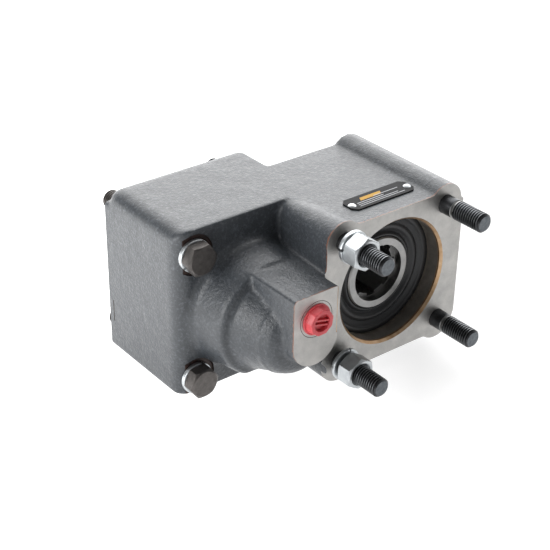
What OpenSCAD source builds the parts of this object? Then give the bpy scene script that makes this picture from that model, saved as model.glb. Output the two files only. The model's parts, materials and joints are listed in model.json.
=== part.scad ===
// Offset power take-off unit: an air cylinder slides the splined input shaft into the gearbox,
// and a pair of spur gears turns a hollow output shaft behind a four-stud pump flange.
// Origin: centre of the pilot bore on the machined pump flange face.
// -Y points out of that face to the pump, +Y to the gearbox, +Z is up.

/* [Pump flange] */
// Distance between neighbouring stud centres on the square pattern
stud_spacing = 80; // [78:0.5:82]
// Radius of the pilot bore
pilot_r = 40; // [40:0.1:40.5]
// Depth of the free pilot bore in front of the lip seal
pilot_depth = 12; // [10:0.5:14]
// Chamfer at the mouth of the pilot bore
pilot_chamfer = 1.5; // [0.5:0.1:2]
// Radius of the two upper corner lobes around the studs
lobe_top_r = 13; // [12:0.1:14]
// Radius of the two lower corner lobes around the studs
lobe_bottom_r = 14.3; // [13:0.1:15]
// Radius to which the upper left lobe shrinks at the left block
lobe_end_r = 7.6; // [7:0.1:8]
// Height of the flat top above the upper studs
top_rise = 8.2; // [7:0.1:9]
// Drop of the flat underside below the lower studs
bottom_drop = 10.3; // [9:0.1:12]
// Distance of the right side beyond the right studs
right_reach = 15; // [13:0.1:17]
// Distance of the left side beyond the left studs
left_reach = 12.5; // [11:0.1:13]

/* [Studs and nuts] */
// Thread radius of the pump studs and of the gearbox bolts
thread_r = 6; // [5:0.5:6]
// Free length of the two right studs
stud_right_len = 32.5; // [28:0.5:40]
// Free length of the upper left stud
stud_left_len = 36.8; // [30:0.1:42]
// Free length of the lower left stud
stud_low_len = 38; // [30:0.1:42]
// Length of the plain collar at the root of each stud
stud_collar = 9; // [6:0.5:12]
// Depth of a stud in its threaded hole
stud_depth = 22; // [16:1:26]
// Width across the flats of nuts and bolt heads
hex_af = 18; // [17:0.5:19]
// Thickness of a stud nut
nut_h = 10.8; // [8:0.1:11.5]
// Thickness of a spring washer
washer_h = 3.2; // [2:0.1:3.5]
// Play between the lower spring washer and its nut
washer_play = 1.8; // [0:0.1:2.5]
// Outer radius of a spring washer
washer_r = 10.2; // [9.5:0.1:11]
// Height of a bolt head
head_h = 7.5; // [6:0.1:9]

/* [Gears] */
// Tooth module of both gears
gear_module = 3; // [2.9:0.05:3]
// Teeth on the input gear
input_teeth = 25; // [24:1:25]
// Teeth on the output gear
output_teeth = 23; // [22:1:23]
// Face width of both gears
gear_w = 16; // [14:0.5:17]
// Distance from the flange face to the front of the gears
gear_y = 57.5; // [56:0.5:60]
// Tooth thinning at the pitch circle for backlash
backlash = 0.16; // [0.1:0.01:0.3]
// Height of the output axis above the input axis
axis_drop = 12; // [8:0.5:14]

/* [Input housing] */
// Width of the left block of the casting
input_block_w = 97; // [96:0.5:100]
// Distance from the input axis to the left side
input_left = 50; // [49:0.5:52]
// Distance from the input axis to the underside
input_bottom = 50.5; // [50:0.5:53]
// Distance from the flange face to the front of the left block
input_front_y = 50; // [48:0.5:52]
// Distance from the flange face to the gearbox face
gearbox_y = 126; // [122:0.5:130]
// Radius of the gear chamber, open at the gearbox face
chamber_r = 42; // [41.5:0.1:43]
// Distance between gearbox bolts, left to right
bolt_spacing_x = 76; // [75:0.5:77]
// Distance between gearbox bolts, top to bottom
bolt_spacing_z = 83.5; // [82:0.5:84]
// Height of the bolt pattern's centre above the input axis
bolt_rise = 2.25; // [1.5:0.25:3]
// Length of a gearbox bolt that stands out of the gearbox face
bolt_out = 13.5; // [8:0.5:16]
// Clearance around a gearbox bolt in its hole
bolt_clear = 0.5; // [0.2:0.1:0.6]
// Radius of the spot face under a bolt head
spot_r = 13; // [11.5:0.1:13.5]
// Depth of that spot face
spot_depth = 1.2; // [0.3:0.1:1.5]

/* [Air cylinder boss] */
// Distance of the machined port pad in front of the flange face
pad_out = 14; // [12:0.5:15]
// Half width of the pad and radius of its round lower end
pad_r = 16; // [15:0.1:17]
// Height of the flat boss top above the output axis
pad_top = 23.4; // [22:0.1:24]
// Radius of the round lower end of the boss
boss_r = 26.8; // [26:0.1:28]
// Distance from the flange face back to the round front of the boss
boss_y = 4; // [3:0.5:6]
// Radius of the boss waist behind the round lower end
waist_r = 26; // [25.5:0.1:26.5]
// Radius of the cylinder boss where it meets the bearing boss
neck_end_r = 32.5; // [32:0.1:34]
// Radius at the front of the bearing boss
boss_front_r = 37.8; // [36.5:0.1:38.5]
// Radius where the bearing boss meets the left block
boss_end_r = 40.8; // [39:0.1:41.2]
// Distance from the flange face to the front of the bearing boss
boss_front_y = 25; // [23:0.5:28]
// Radius of the air cylinder bore
cylinder_r = 18.05; // [18.05:0.05:18.5]
// Radius of the threaded air port
port_r = 6.6; // [5.5:0.1:7]
// Height of the air port above the output axis
port_z = 7; // [6.5:0.1:8]
// Radius of the port plug's head
plug_r = 9.8; // [9:0.1:10.5]
// Height of the port plug's head
plug_h = 5.6; // [4:0.1:7]

/* [Shift parts] */
// Travel of the piston and of the sliding shaft
shift_travel = 12; // [8:0.5:12]
// Length of the piston
piston_len = 12; // [10:0.5:13]
// Radial clearance of sliding and running fits
fit_gap = 0.05; // [0.03:0.01:0.08]
// Wire radius of the return spring
wire_r = 1.3; // [1:0.1:1.4]
// Turns of the return spring
spring_turns = 4.5; // [3.5:0.5:5]

/* [Output shaft] */
// Radius of the shaft under the lip seal
seal_land_r = 23.6; // [23:0.1:24]
// Depth of the shaft's front end behind the flange face
shaft_front = 12.7; // [11:0.1:14]
// Inner radius of the output spline
spline_minor_r = 16; // [15:0.1:16.5]
// Outer radius of the output spline
spline_major_r = 18; // [17:0.1:18.5]
// Width of a groove of the output spline
spline_key_w = 6; // [5:0.1:6.5]
// Length of the output spline
spline_len = 46; // [36:1:50]
// Depth of the plain mouth in front of the output spline
spline_mouth = 6; // [2:0.5:8]

/* [Name plate] */
// Width of the name plate
plate_w = 49; // [40:0.5:50]
// Depth of the name plate
plate_d = 14; // [10:0.5:16]
// Thickness of the name plate
plate_t = 0.8; // [0.5:0.1:1.2]
// Distance from the flange face to the name plate
plate_y = 12.5; // [8:0.5:16]
// Distance of the plate's middle to the right of the output axis
plate_mid_x = 3; // [0:0.5:6]

/* [Hidden] */
$fn = 96;
hull_fn = 32;
eps = 0.1;
side_gap = 1;
face_gap = 0.2;

// Places of the two axes and of the fastener patterns
stud_half = stud_spacing / 2;
centre_distance = gear_module * (input_teeth + output_teeth) / 2;
input_x = -sqrt(centre_distance * centre_distance - axis_drop * axis_drop);
input_z = -axis_drop;
mesh_angle = atan2(input_z, input_x);
bolt_half_x = bolt_spacing_x / 2;
bolt_half_z = bolt_spacing_z / 2;
nut_y = stud_collar + face_gap;
thread_relief = 0.25;
core_r = thread_r - thread_relief;
nut_end = nut_y + nut_h + thread_relief;
tip_chamfer = 1.2;
short_neck = 0.6;
long_neck = 2;

// Sides of the casting
top_z = stud_half + top_rise;
bottom_z = -stud_half - bottom_drop;
right_x = stud_half + right_reach;
left_x = -stud_half - left_reach;
input_left_x = input_x - input_left;
input_right_x = input_left_x + input_block_w;
input_bottom_z = input_z - input_bottom;

// Bearings: bore radius, outer radius and width
large_bearing = [25, 40, 16];
medium_bearing = [15, 27.5, 13];
small_bearing = [4, 11, 7];

// Stack along the output axis
seal_w = 7;
ring_t = 2.5;
ring_groove = 2;
undercut_w = 1.2;
undercut_d = 0.6;
ring_band = 4;
ring_y = pilot_depth + seal_w;
front_bearing_y = ring_y + ring_t;
shoulder_y = front_bearing_y + large_bearing[2];
gear_end_y = gear_y + gear_w;
rear_bearing_y = gear_end_y + side_gap;
rear_wall = 4.5;
block_end_y = rear_bearing_y + medium_bearing[2] + rear_wall;
seat_r = large_bearing[1];
shoulder_r = large_bearing[0] + 3.5;
gear_seat_r = large_bearing[0] + 1;
mid_land_r = medium_bearing[0] + 3.5;
clip_band = 2;
circlip_t = 1.75;
key_w = 8;
key_h = 6;

// Stack along the input axis
chamber_y = gear_y - side_gap;
input_bearing_y = chamber_y - medium_bearing[2];
spring_wall = 5;
cylinder_end_y = input_bearing_y - spring_wall;
cylinder_wall = 10;
cylinder_y = cylinder_wall - pad_out;
nose_len = 4.5;
piston_y = cylinder_y + nose_len;
piston_end_y = piston_y + piston_len;
cup_r = 13;
cup_gap = 0.5;
cup_end_y = input_bearing_y - cup_gap - shift_travel;
cup_floor = 3;
shift_bearing_y = cup_end_y - cup_floor - small_bearing[2];
carrier_gap = 18;
carrier_lip = 3;
carrier_back = 2;
hub_out = 3;
sliding_inset = 2;
carrier_y = gear_end_y + carrier_gap;
rear_input_y = carrier_y + carrier_lip;
hub_clip_y = rear_input_y + medium_bearing[2];
hub_clip_t = 1.5;
hub_clip_d = 0.8;
carrier_end_y = hub_clip_y + carrier_back;
hub_end_y = hub_clip_y + hub_out;
sliding_end_y = gearbox_y - sliding_inset;
gearbox_stud_depth = 28;
slide_minor_r = 10.5;
slide_major_r = 12.5;
slide_key_w = 5;

// Port plug and the pad around it
plug_stem_len = 7;
port_len = 16;
pad_x = input_x;
pad_round_rise = 4.5;
pad_round_z = input_z + pad_round_rise;
spot_ring_r = plug_r + 1.6;
seal_groove_r = port_r - 1.6;

// Name plate
plate_x0 = plate_mid_x - plate_w / 2;
rivet_r = 1.2;

// Fixings on the piston rod and its seal
ring_centre_y = piston_y + piston_len / 2;
ring_half = 1.8;
ring_squeeze = 0.3;
ring_floor_r = cylinder_r - 2 * ring_half + ring_squeeze;
rod_clip_y = shift_bearing_y + small_bearing[2];
rod_clip_t = 0.8;
rod_clip_d = 0.4;
rod_end_y = rod_clip_y + 3 * rod_clip_t;
rod_recess_r = 7;

// Solid between two planes across the Y axis, with its outline drawn as X and Z
module slab(y0, y1) {
    translate([0, y1, 0]) rotate([90, 0, 0]) linear_extrude(y1 - y0) children();
}

// Round bar along Y
module bar(r, y0, y1) {
    translate([0, y1, 0]) rotate([90, 0, 0]) cylinder(r = r, h = y1 - y0);
}

// Tube along Y
module tube(r_out, r_in, y0, y1) {
    difference() {
        bar(r_out, y0, y1);
        bar(r_in, y0 - eps, y1 + eps);
    }
}

// Turned shape around Y, with its half section drawn as radius and Y
module turned() {
    rotate([-90, 0, 0]) rotate_extrude() children();
}

// Moves to the input axis, and to one place of a pattern
module at_input() {
    translate([input_x, 0, input_z]) children();
}

module at_stud(side, level) {
    translate([side * stud_half, 0, level * stud_half]) children();
}

module at_bolt(side, level) {
    at_input() translate([side * bolt_half_x, 0, bolt_rise + level * bolt_half_z]) children();
}

// Bar with a chamfer at each end
module pin_bar(r, y0, y1, c) {
    turned() polygon([[0, y0], [r - c, y0], [r, y0 + c], [r, y1 - c], [r - c, y1], [0, y1]]);
}

// Piece that rounds the corner of a rectangle when it is cut away
module corner_cut(x, z, r, sx, sz) {
    translate([x, z]) difference() {
        translate([sx > 0 ? -eps : -r, sz > 0 ? -eps : -r]) square(r + eps);
        translate([sx * r, sz * r]) circle(r);
    }
}

// Rectangle with its own radius at each corner: lower left, lower right, upper right, upper left
module round_rect(x0, z0, x1, z1, radii) {
    difference() {
        translate([x0, z0]) square([x1 - x0, z1 - z0]);
        corner_cut(x0, z0, radii[0], 1, 1);
        corner_cut(x1, z0, radii[1], -1, 1);
        corner_cut(x1, z1, radii[2], -1, -1);
        corner_cut(x0, z1, radii[3], 1, -1);
    }
}

// Outline of the output block without its upper left lobe, which tapers towards the back
module output_outline() {
    difference() {
        translate([left_x, bottom_z]) square([right_x - left_x, top_z - bottom_z]);
        for (side = [-1, 1]) {
            for (level = [-1, 1]) {
                lobe_corner(side, level);
            }
        }
    }
    translate([stud_half, stud_half]) circle(lobe_top_r);
    for (side = [-1, 1]) {
        translate([side * stud_half, -stud_half]) circle(lobe_bottom_r);
    }
}

// Square corner outside a stud, which a lobe fills
module lobe_corner(side, level) {
    reach = 2 * right_reach;
    translate([side * stud_half, level * stud_half])
        translate([side > 0 ? 0 : -reach, level > 0 ? 0 : -reach]) square(reach);
}

// Upper left lobe: full round at the flange, sunk into the top at the left block
module tapered_lobe() {
    at_stud(-1, 1) rotate([-90, 0, 0])
        cylinder(r1 = lobe_top_r, r2 = lobe_end_r, h = input_front_y);
}

// Wedge cut off the left wall above the cylinder boss, so that the wall follows the lobe
module side_draft() {
    translate([0, 0, pad_top - eps]) linear_extrude(top_z - pad_top + 2 * eps)
        polygon([[left_x, 0], [-stud_half - lobe_end_r, input_front_y],
                 [left_x - side_gap, input_front_y], [left_x - side_gap, 0]]);
}

// Left block of the casting, with rounded edges on its outer sides
module input_block() {
    top_r = 7;
    low_r = 9;
    end_r = 12;
    edge_r = 4;
    back_r = 4;
    small_r = 2;
    intersection() {
        slab(input_front_y, gearbox_y)
            round_rect(input_left_x, input_bottom_z, input_right_x, top_z,
                       [low_r, low_r, small_r, top_r]);
        translate([0, 0, input_bottom_z - eps]) linear_extrude(top_z - input_bottom_z + 2 * eps)
            round_rect(input_left_x, input_front_y, input_right_x, gearbox_y,
                       [edge_r, small_r, small_r, back_r]);
        translate([input_right_x + eps, 0, 0]) rotate([90, 0, -90])
            linear_extrude(input_block_w + 2 * eps) mirror([1, 0])
                round_rect(input_front_y, input_bottom_z, gearbox_y, top_z,
                           [small_r, small_r, end_r, small_r]);
    }
}

// Outline of the air port pad: flat top, round lower end
module pad_outline(r) {
    translate([pad_x, pad_round_z]) circle(r, $fn = hull_fn);
    translate([pad_x - r, pad_round_z]) square([2 * r, pad_top - pad_round_z]);
}

// Air cylinder boss, which narrows to the port pad in front of the pump flange
module cylinder_boss() {
    skin = 1.5;
    slab(-pad_out, input_front_y + side_gap)
        translate([pad_x - pad_r, input_z]) square([2 * pad_r, pad_top - input_z]);
    slab(0, input_front_y + side_gap)
        translate([pad_x, input_z]) square([-stud_half - pad_x, pad_top - input_z]);
    hull() {
        slab(-pad_out, -pad_out + skin) pad_outline_low();
        at_input() slab(boss_y, boss_y + skin) circle(boss_r - skin, $fn = 2 * hull_fn);
    }
}

module pad_outline_low() {
    intersection() {
        pad_outline(pad_r);
        translate([pad_x - pad_r, pad_round_z - pad_r]) square([2 * pad_r, pad_r + eps]);
    }
}

// Round bosses on the input axis: the bearing boss, then the narrower cylinder boss
module bearing_boss() {
    edge = 1.5;
    foot = 3;
    at_input() turned() polygon([
        [0, boss_y], [boss_r - edge, boss_y], [boss_r, boss_y + edge],
        [waist_r, boss_y + 2 * edge], [neck_end_r, boss_front_y],
        [boss_front_r - edge, boss_front_y], [boss_front_r, boss_front_y + edge],
        [boss_end_r, input_front_y - foot], [boss_end_r + foot, input_front_y],
        [boss_end_r + foot, input_front_y + side_gap], [0, input_front_y + side_gap]]);
}

// Everything that the casting's outer walls are made of
module casting() {
    difference() {
        slab(0, block_end_y) output_outline();
        side_draft();
    }
    tapered_lobe();
    input_block();
    cylinder_boss();
    bearing_boss();
}

// Bores and counterbores of the output side
module output_bores() {
    bar(pilot_r, -eps, pilot_depth - undercut_w + eps);
    bar(seat_r, pilot_depth - eps, gear_end_y + side_gap);
    turned() polygon([[0, -eps], [pilot_r + pilot_chamfer + eps, -eps],
                      [pilot_r, pilot_chamfer], [0, pilot_chamfer]]);
    bar(max(pilot_r, seat_r) + undercut_d, pilot_depth - undercut_w, pilot_depth);
    bar(seat_r + ring_groove, ring_y, ring_y + ring_t);
    bar(medium_bearing[1], gear_end_y, rear_bearing_y + medium_bearing[2]);
    for (side = [-1, 1]) {
        for (level = [-1, 1]) {
            at_stud(side, level) bar(thread_r + fit_gap, -eps, stud_depth);
        }
    }
}

// Bores and counterbores of the input side
module input_bores() {
    bore_pass_r = cup_r + 1;
    at_input() {
        bar(cylinder_r, cylinder_y, cylinder_end_y);
        bar(bore_pass_r, cylinder_end_y - eps, input_bearing_y + eps);
        bar(medium_bearing[1], input_bearing_y, chamber_y + eps);
        bar(chamber_r, chamber_y, gearbox_y + eps);
        bar(chamber_r + ring_groove, carrier_end_y, carrier_end_y + ring_t);
    }
    for (level = [-1, 1]) {
        at_bolt(-1, level) bar(thread_r + bolt_clear, input_front_y - eps, gearbox_y + eps);
        at_bolt(-1, level) bar(spot_r, input_front_y - eps - spot_depth,
                               input_front_y + spot_depth);
        at_bolt(1, level) bar(thread_r + fit_gap, gearbox_y - gearbox_stud_depth,
                              gearbox_y + eps);
    }
}

// Air port, its seal face and the spot-faced ring around it
module port_bore() {
    ring_w = 0.6;
    ring_d = 0.4;
    translate([pad_x, 0, port_z]) {
        bar(port_r, -pad_out - eps, port_len - pad_out);
        tube(spot_ring_r, spot_ring_r - ring_w, -pad_out - eps, -pad_out + ring_d);
    }
}

// Thin casting line left open low on the left side, next to the gearbox face
module side_slit() {
    slit_h = 15;
    slit_d = 0.8;
    slit_inset = 5;
    slit_drop = 31;
    translate([input_left_x - eps, gearbox_y - slit_inset, input_z - slit_drop])
        cube([slit_d + eps, slit_d, slit_h]);
}

module housing() {
    color("#868a8f") difference() {
        casting();
        output_bores();
        input_bores();
        port_bore();
        side_slit();
    }
}

// Plate with its two short ends cut off at the corners
module name_plate() {
    cut = 3;
    x0 = plate_x0;
    color("#26272a") translate([0, 0, top_z]) linear_extrude(plate_t) difference() {
        polygon([[x0 + cut, plate_y], [x0 + plate_w - cut, plate_y],
                 [x0 + plate_w, plate_y + cut], [x0 + plate_w, plate_y + plate_d - cut],
                 [x0 + plate_w - cut, plate_y + plate_d], [x0 + cut, plate_y + plate_d],
                 [x0, plate_y + plate_d - cut], [x0, plate_y + cut]]);
        rivet_places() circle(rivet_r + fit_gap);
    }
}

module rivet_places() {
    inset = 2.8;
    for (x = [plate_x0 + inset, plate_x0 + plate_w - inset]) {
        translate([x, plate_y + plate_d / 2 - side_gap]) children();
    }
}

// Drive rivets with domed heads on the plate
module name_plate_rivets() {
    head_r = 2.5;
    dome_h = 1.1;
    color("#d8dade") translate([0, 0, top_z]) {
        rivet_places() cylinder(r = rivet_r, h = plate_t);
        rivet_places() translate([0, 0, plate_t]) rotate_extrude() intersection() {
            translate([0, dome_h - (head_r * head_r + dome_h * dome_h) / (2 * dome_h)])
                circle((head_r * head_r + dome_h * dome_h) / (2 * dome_h));
            square([head_r, dome_h]);
        }
    }
}

// Plastic plug: a thin flange, and a head with flats and two ribs across its recess
module air_port_plug() {
    flats = 10;
    flange_t = 1;
    head_r = plug_r - 1.1;
    recess_r = 5.4;
    recess_d = 2.6;
    rib_w = 0.9;
    rib_step = 1.2;
    rib_in = 0.5;
    rib_turn = 14;
    ring_in = 0.5;
    ring_w = 2;
    head_y = -pad_out - plug_h;
    color("#cc4149") translate([pad_x, 0, port_z]) {
        difference() {
            union() {
                bar(plug_r, -pad_out - flange_t, -pad_out - face_gap / 2);
                slab(head_y, -pad_out - flange_t / 2) circle(head_r, $fn = flats);
                bar(port_r - fit_gap, -pad_out - face_gap, -pad_out + plug_stem_len);
            }
            bar(recess_r, head_y - eps, head_y + recess_d);
            tube(port_r, seal_groove_r, ring_in - pad_out, ring_in + ring_w - pad_out);
        }
        for (side = [-1, 1]) {
            rotate([0, rib_turn, 0])
                translate([-recess_r, head_y + rib_in, side * rib_step - rib_w / 2])
                    cube([2 * recess_r, recess_d, rib_w]);
        }
    }
}

// O-ring in the plug's groove
module air_port_seal() {
    seal_r = (port_r - seal_groove_r) / 2 - fit_gap / 2;
    seal_in = 1.5;
    color("#1c1c1e") translate([pad_x, seal_in - pad_out, port_z]) turned()
        translate([seal_groove_r + seal_r, 0]) circle(seal_r);
}

// Pump stud: threaded root, plain collar, relieved neck and threaded free end
module pump_stud(free_len, neck) {
    neck_r = thread_r - 1;
    turned() polygon([[0, -free_len], [core_r - tip_chamfer, -free_len],
                      [core_r, -free_len + tip_chamfer], [core_r, -stud_collar - neck],
                      [neck_r, -stud_collar - neck], [neck_r, -stud_collar],
                      [thread_r, -stud_collar],
                      [thread_r, stud_depth - tip_chamfer],
                      [thread_r - tip_chamfer, stud_depth],
                      [0, stud_depth]]);
}

// Pump stud with a nut on it, whose thread has its full radius where the nut holds it
module nut_stud(free_len) {
    pump_stud(free_len, short_neck);
    bar(thread_r, -nut_end, -stud_collar - short_neck);
}

module stud_upper_left() {
    color("#232426") at_stud(-1, 1) nut_stud(stud_left_len);
}

module stud_upper_right() {
    color("#232426") at_stud(1, 1) pump_stud(stud_right_len, long_neck);
}

module stud_lower_left() {
    color("#232426") at_stud(-1, -1) nut_stud(stud_low_len);
}

module stud_lower_right() {
    color("#232426") at_stud(1, -1) pump_stud(stud_right_len, long_neck);
}

// Split spring washer from one plane towards the casting
module spring_washer(y0) {
    split = 1;
    difference() {
        tube(washer_r, thread_r + fit_gap, y0, y0 + washer_h);
        translate([-split / 2, y0 - eps, 0])
            cube([split, washer_h + 2 * eps, washer_r + eps]);
    }
}

// Hexagonal block with corners turned off at its outer face
module hex_block(y0, y1, turn) {
    corner_r = hex_af / sqrt(3);
    lost = corner_r - hex_af / 2;
    rotate([0, -turn, 0]) intersection() {
        slab(y0, y1) circle(corner_r, $fn = 6);
        turned() polygon([[0, y0], [corner_r - lost, y0], [corner_r, y0 + lost / 2],
                          [corner_r, y1], [0, y1]]);
    }
}

// Nut run off its face, so that it stands at the end of the stud's plain collar
module stud_nut(turn) {
    difference() {
        hex_block(-nut_y - nut_h, -nut_y, turn);
        bar(thread_r + fit_gap, -nut_y - nut_h - eps, -nut_y + eps);
    }
}

module stud_washer_upper() {
    color("#b9bbbd") at_stud(-1, 1) spring_washer(-nut_y);
}

module stud_washer_lower() {
    color("#b9bbbd") at_stud(-1, -1) spring_washer(washer_play - nut_y);
}

module stud_nut_upper() {
    color("#c9cbcd") at_stud(-1, 1) stud_nut(28.5);
}

module stud_nut_lower() {
    color("#c9cbcd") at_stud(-1, -1) stud_nut(29);
}

// Bolt from the spot face through the left block, out of the gearbox face
module gearbox_bolt(turn) {
    seat_y = input_front_y + spot_depth - washer_h;
    hex_block(seat_y - head_h, seat_y, turn);
    bolt_shank(seat_y - side_gap);
}

// Shank up to the gearbox face, then the slightly smaller threaded end that stands out of it
module bolt_shank(y0) {
    end_y = gearbox_y + bolt_out;
    turned() polygon([[0, y0], [thread_r, y0], [thread_r, gearbox_y + face_gap],
                      [core_r, gearbox_y + face_gap], [core_r, end_y - tip_chamfer],
                      [core_r - tip_chamfer, end_y], [0, end_y]]);
}

module gearbox_bolt_upper() {
    color("#2a2b2d") at_bolt(-1, 1) gearbox_bolt(2);
}

module gearbox_bolt_lower() {
    color("#2a2b2d") at_bolt(-1, -1) gearbox_bolt(5);
}

module bolt_washer_upper() {
    color("#b9bbbd") at_bolt(-1, 1) spring_washer(input_front_y + spot_depth - washer_h);
}

module bolt_washer_lower() {
    color("#b9bbbd") at_bolt(-1, -1) spring_washer(input_front_y + spot_depth - washer_h);
}

// Gearbox stud on the right, screwed into the casting behind the output bearing
module gearbox_stud() {
    bolt_shank(gearbox_y - gearbox_stud_depth);
}

module gearbox_stud_upper() {
    color("#2a2b2d") at_bolt(1, 1) gearbox_stud();
}

module gearbox_stud_lower() {
    color("#2a2b2d") at_bolt(1, -1) gearbox_stud();
}

// Lip seal: stiff outer body, stepped rings and a lip that runs on the shaft
module output_seal() {
    lip_r = seal_land_r + fit_gap;
    color("#1d1e20") turned() polygon([
        [lip_r, pilot_depth + 2], [lip_r + 1.5, pilot_depth + 1.2],
        [lip_r + 3, pilot_depth + 3], [lip_r + 5.5, pilot_depth + 3],
        [lip_r + 6, pilot_depth + 1], [lip_r + 8, pilot_depth + 1],
        [lip_r + 8.5, pilot_depth + 1.8], [seat_r - 4, pilot_depth + 1.8],
        [seat_r - 3.5, pilot_depth], [seat_r, pilot_depth],
        [seat_r, pilot_depth + seal_w], [lip_r + 4, pilot_depth + seal_w],
        [lip_r + 1, pilot_depth + seal_w - 1.5], [lip_r, pilot_depth + 3]]);
}

// Ring snapped into the groove between seal and bearing
module output_retaining_ring() {
    gap_w = 12;
    color("#4a4c50") difference() {
        tube(seat_r + ring_groove - fit_gap, seat_r - ring_band, ring_y, ring_y + ring_t);
        translate([-gap_w / 2, ring_y - eps, -seat_r - 2 * ring_groove])
            cube([gap_w, ring_t + 2 * eps, seat_r / 2]);
    }
}

// Bore with straight-sided grooves, as an outline
module spline_outline(minor_r, major_r, key_w, keys) {
    circle(minor_r);
    intersection() {
        circle(major_r);
        for (i = [0:keys - 1]) {
            rotate(i * 360 / keys) translate([0, -key_w / 2]) square([2 * major_r, key_w]);
        }
    }
}

// Hollow output shaft with an internal spline for the pump
module output_shaft() {
    keys = 8;
    edge = 0.8;
    mouth_step = 0.6;
    end_y = rear_bearing_y + medium_bearing[2] - edge;
    color("#a9abad") difference() {
        turned() polygon([
            [0, shaft_front], [seal_land_r - edge, shaft_front],
            [seal_land_r, shaft_front + edge], [seal_land_r, front_bearing_y],
            [large_bearing[0], front_bearing_y], [large_bearing[0], shoulder_y],
            [shoulder_r, shoulder_y], [shoulder_r, gear_y], [gear_seat_r, gear_y],
            [gear_seat_r, gear_end_y - circlip_t], [mid_land_r, gear_end_y - circlip_t],
            [mid_land_r, rear_bearing_y],
            [medium_bearing[0], rear_bearing_y], [medium_bearing[0], end_y], [0, end_y]]);
        slab(shaft_front - eps, shaft_front + spline_len)
            spline_outline(spline_minor_r, spline_major_r, spline_key_w, keys);
        bar(spline_major_r + mouth_step, shaft_front - eps, shaft_front + spline_mouth);
        key_slot(0);
    }
}

// Slot for the gear key, open at the seat's rear end
module key_slot(gap) {
    translate([-key_w / 2 - gap, gear_y, gear_seat_r - key_h / 2])
        cube([key_w + 2 * gap, gear_w - circlip_t, key_h + gap]);
}

module output_gear_key() {
    color("#77797c") key_slot(0);
}

// Point of an involute tooth flank, at a radius and an angle
function polar(r, a) = [r * cos(a), r * sin(a)];
function inv_angle(a) = tan(a) * 180 / PI - a;
function flank_angle(r, pitch_r, teeth, base_r) =
    90 / teeth - backlash / 2 / pitch_r * 180 / PI + inv_angle(20)
    - (r > base_r ? inv_angle(acos(base_r / r)) : 0);

// Outline of a spur gear with involute flanks
module gear_outline(teeth) {
    steps = 5;
    pitch_r = gear_module * teeth / 2;
    base_r = pitch_r * cos(20);
    tip_r = pitch_r + gear_module;
    root_r = pitch_r - 1.25 * gear_module;
    radii = [for (k = [0:steps]) base_r + (tip_r - base_r) * k / steps];
    polygon([for (i = [0:teeth - 1]) let (mid = i * 360 / teeth) each concat(
        [polar(root_r, mid - flank_angle(root_r, pitch_r, teeth, base_r) - 0.6)],
        [for (r = radii) polar(r, mid - flank_angle(r, pitch_r, teeth, base_r))],
        [for (k = [0:steps]) let (r = radii[steps - k])
            polar(r, mid + flank_angle(r, pitch_r, teeth, base_r))],
        [polar(root_r, mid + flank_angle(root_r, pitch_r, teeth, base_r) + 0.6)])]);
}

// Driven gear, with a tooth on the line between the two axes
module output_gear() {
    web_r = gear_seat_r + clip_band + side_gap;
    color("#8f9194") difference() {
        slab(gear_y, gear_end_y) rotate(mesh_angle) gear_outline(output_teeth);
        bar(gear_seat_r, gear_y - eps, gear_end_y + eps);
        key_slot(0);
        bar(web_r, gear_end_y - circlip_t, gear_end_y + eps);
    }
}

// Circlip that holds the driven gear on its seat
module output_gear_circlip() {
    color("#4a4c50")
        tube(gear_seat_r + clip_band, mid_land_r + fit_gap / 2,
             gear_end_y - circlip_t, gear_end_y);
}

// Ball size and count that fit between two races
function ball_r(b) = (b[1] - b[0]) * 0.3;
function ball_pitch_r(b) = (b[1] + b[0]) / 2;
function ball_count(b) = floor(PI * ball_pitch_r(b) / (ball_r(b) * 1.45));
function race_land(b) = (b[1] - b[0]) * 0.31;

// Outer race: a ring with a round groove inside
module outer_race(b, y0) {
    color("#9a9c9f") difference() {
        tube(b[1], b[1] - race_land(b), y0, y0 + b[2]);
        translate([0, y0 + b[2] / 2, 0]) turned()
            translate([ball_pitch_r(b), 0]) circle(ball_r(b) + fit_gap);
    }
}

// Inner race: a ring with a round groove outside
module inner_race(b, y0) {
    color("#a4a6a9") difference() {
        tube(b[0] + race_land(b), b[0], y0, y0 + b[2]);
        translate([0, y0 + b[2] / 2, 0]) turned()
            translate([ball_pitch_r(b), 0]) circle(ball_r(b) + fit_gap);
    }
}

// Set of balls between the races
module ball_set(b, y0) {
    color("#c4c6c8") for (i = [0:ball_count(b) - 1]) {
        rotate([0, i * 360 / ball_count(b), 0])
            translate([ball_pitch_r(b), y0 + b[2] / 2, 0]) sphere(ball_r(b));
    }
}

module output_front_outer_race() {
    outer_race(large_bearing, front_bearing_y);
}

module output_front_inner_race() {
    inner_race(large_bearing, front_bearing_y);
}

module output_front_balls() {
    ball_set(large_bearing, front_bearing_y);
}

module output_rear_outer_race() {
    outer_race(medium_bearing, rear_bearing_y);
}

module output_rear_inner_race() {
    inner_race(medium_bearing, rear_bearing_y);
}

module output_rear_balls() {
    ball_set(medium_bearing, rear_bearing_y);
}

module input_front_outer_race() {
    at_input() outer_race(medium_bearing, input_bearing_y);
}

module input_front_inner_race() {
    at_input() inner_race(medium_bearing, input_bearing_y);
}

module input_front_balls() {
    at_input() ball_set(medium_bearing, input_bearing_y);
}

module input_rear_outer_race() {
    at_input() outer_race(medium_bearing, rear_input_y);
}

module input_rear_inner_race() {
    at_input() inner_race(medium_bearing, rear_input_y);
}

module input_rear_balls() {
    at_input() ball_set(medium_bearing, rear_input_y);
}

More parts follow.
